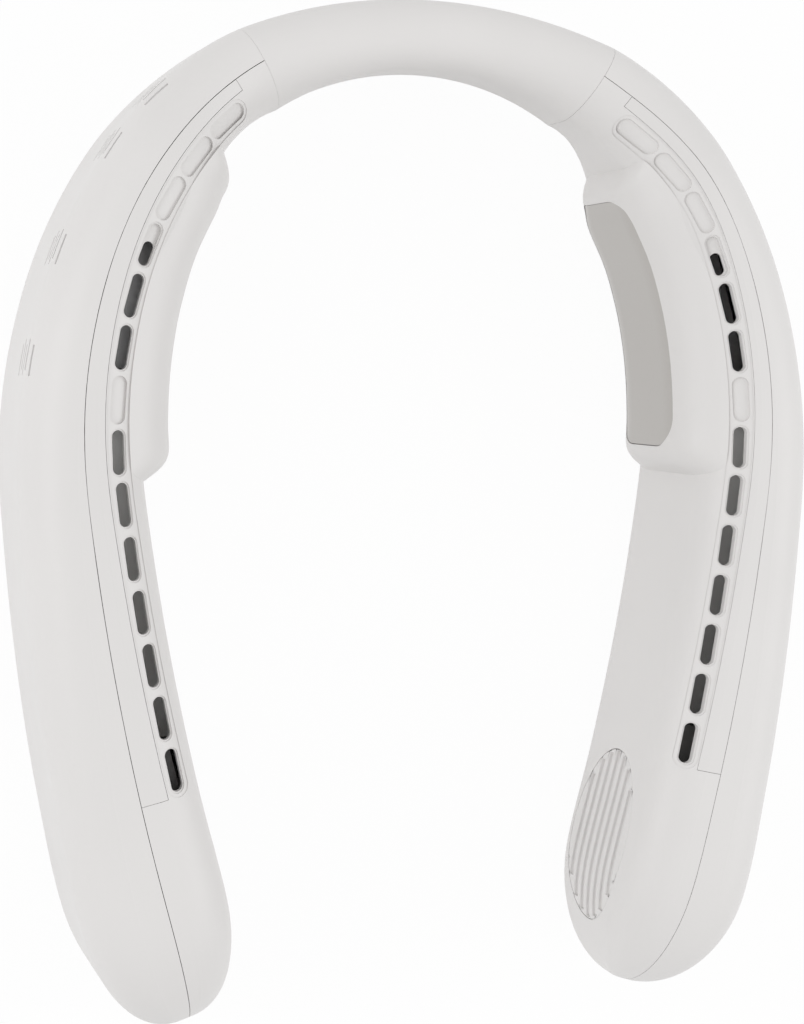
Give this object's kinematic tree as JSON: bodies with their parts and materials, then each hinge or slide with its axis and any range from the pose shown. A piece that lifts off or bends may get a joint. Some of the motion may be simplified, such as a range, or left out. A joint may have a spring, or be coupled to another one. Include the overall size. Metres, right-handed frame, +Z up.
{
  "type": "electric neck fan",
  "caption": "White U-shaped neck fan: a soft bridge joins two hollow arms with outlet slots, metal cooling plates, ribbed intake grilles and centrifugal blowers.",
  "frame": {"origin": "bottom centre of the bounding box, on the surface the fan lies on", "axes": "+Z up, away from the flat underside and towards the outlet slots; +Y towards the bridge behind the neck; +X to the right arm, seen from above with the bridge at the back"},
  "size_m": [0.1928, 0.2399, 0.0531],
  "materials": {
    "shell_white": "satin white moulded plastic",
    "trim_white": "satin white moulded plastic",
    "sleeve_silicone": "matte white silicone",
    "plate_metal": "fine satin",
    "heat_sink_metal": "plain extruded",
    "ceramic": "white ceramic faces",
    "inner_plastic": "dark moulded plastic",
    "chassis_plastic": "grey moulded plastic",
    "steel": "plain steel",
    "bronze": "sintered bronze",
    "copper": "enamelled copper windings",
    "cell_wrap": "smooth film wrap",
    "board_green": "solder mask",
    "cable_rubber": "matte jacket",
    "switch_black": "plain moulded",
    "lamp_clear": "clear moulded",
    "button_white": "satin light grey"
  },
  "bodies": {
    "right_arm": {"right_outer_shell": "shell_white", "right_inner_shell": "shell_white", "right_trim_strip": "trim_white", "right_shell_screws": "steel", "right_intake_grille": "trim_white", "right_cooling_plate": "plate_metal", "right_peltier_module": "ceramic", "right_heat_sink": "heat_sink_metal", "right_blower_housing": "inner_plastic", "right_blower_cover": "inner_plastic", "right_motor_bearing": "bronze", "right_motor_stator": "copper", "right_chassis": "chassis_plastic", "right_battery_cell": "cell_wrap", "right_circuit_board": "board_green", "right_bridge_clamp": "chassis_plastic", "bridge_sleeve": "sleeve_silicone", "bridge_spring": "steel", "bridge_harness": "cable_rubber", "button_switches": "switch_black", "usb_port": "steel", "light_pipe": "lamp_clear"},
    "left_arm": {"left_outer_shell": "shell_white", "left_inner_shell": "shell_white", "left_trim_strip": "trim_white", "left_shell_screws": "steel", "left_intake_grille": "trim_white", "left_cooling_plate": "plate_metal", "left_peltier_module": "ceramic", "left_heat_sink": "heat_sink_metal", "left_blower_housing": "inner_plastic", "left_blower_cover": "inner_plastic", "left_motor_bearing": "bronze", "left_motor_stator": "copper", "left_chassis": "chassis_plastic", "left_battery_cell": "cell_wrap", "left_circuit_board": "board_green", "left_bridge_clamp": "chassis_plastic"},
    "right_rotor": {"right_impeller": "inner_plastic", "right_impeller_shaft": "steel"},
    "left_rotor": {"left_impeller": "inner_plastic", "left_impeller_shaft": "steel"},
    "power_button": {"power_button": "button_white"},
    "mode_button": {"mode_button": "button_white"}
  },
  "joints": [
    {"name": "bridge_flex", "type": "hinge", "parent": "right_arm", "child": "left_arm", "pos_m": [0, 0.1128, 0.03125], "axis": [0, 0, -1], "range_deg": [-8, 25], "stiffness_Nm_per_rad": 1, "deforming": ["bridge_sleeve", "bridge_spring", "bridge_harness"]},
    {"name": "right_rotor_spin", "type": "hinge", "parent": "right_arm", "child": "right_rotor", "pos_m": [0.0671, -0.07987, 0.02625], "axis": [0.9697, -0.2443, 0], "continuous": true},
    {"name": "left_rotor_spin", "type": "hinge", "parent": "left_arm", "child": "left_rotor", "pos_m": [-0.0671, -0.07987, 0.02625], "axis": [-0.9697, -0.2443, 0], "continuous": true},
    {"name": "power_press", "type": "slide", "parent": "right_arm", "child": "power_button", "axis": [-0.9935, 0.1141, 0], "range_m": [0, 0.0006], "stiffness_N_per_m": 1200},
    {"name": "mode_press", "type": "slide", "parent": "right_arm", "child": "mode_button", "axis": [-0.9901, 0.1403, 0], "range_m": [0, 0.0006], "stiffness_N_per_m": 1200}
  ]
}
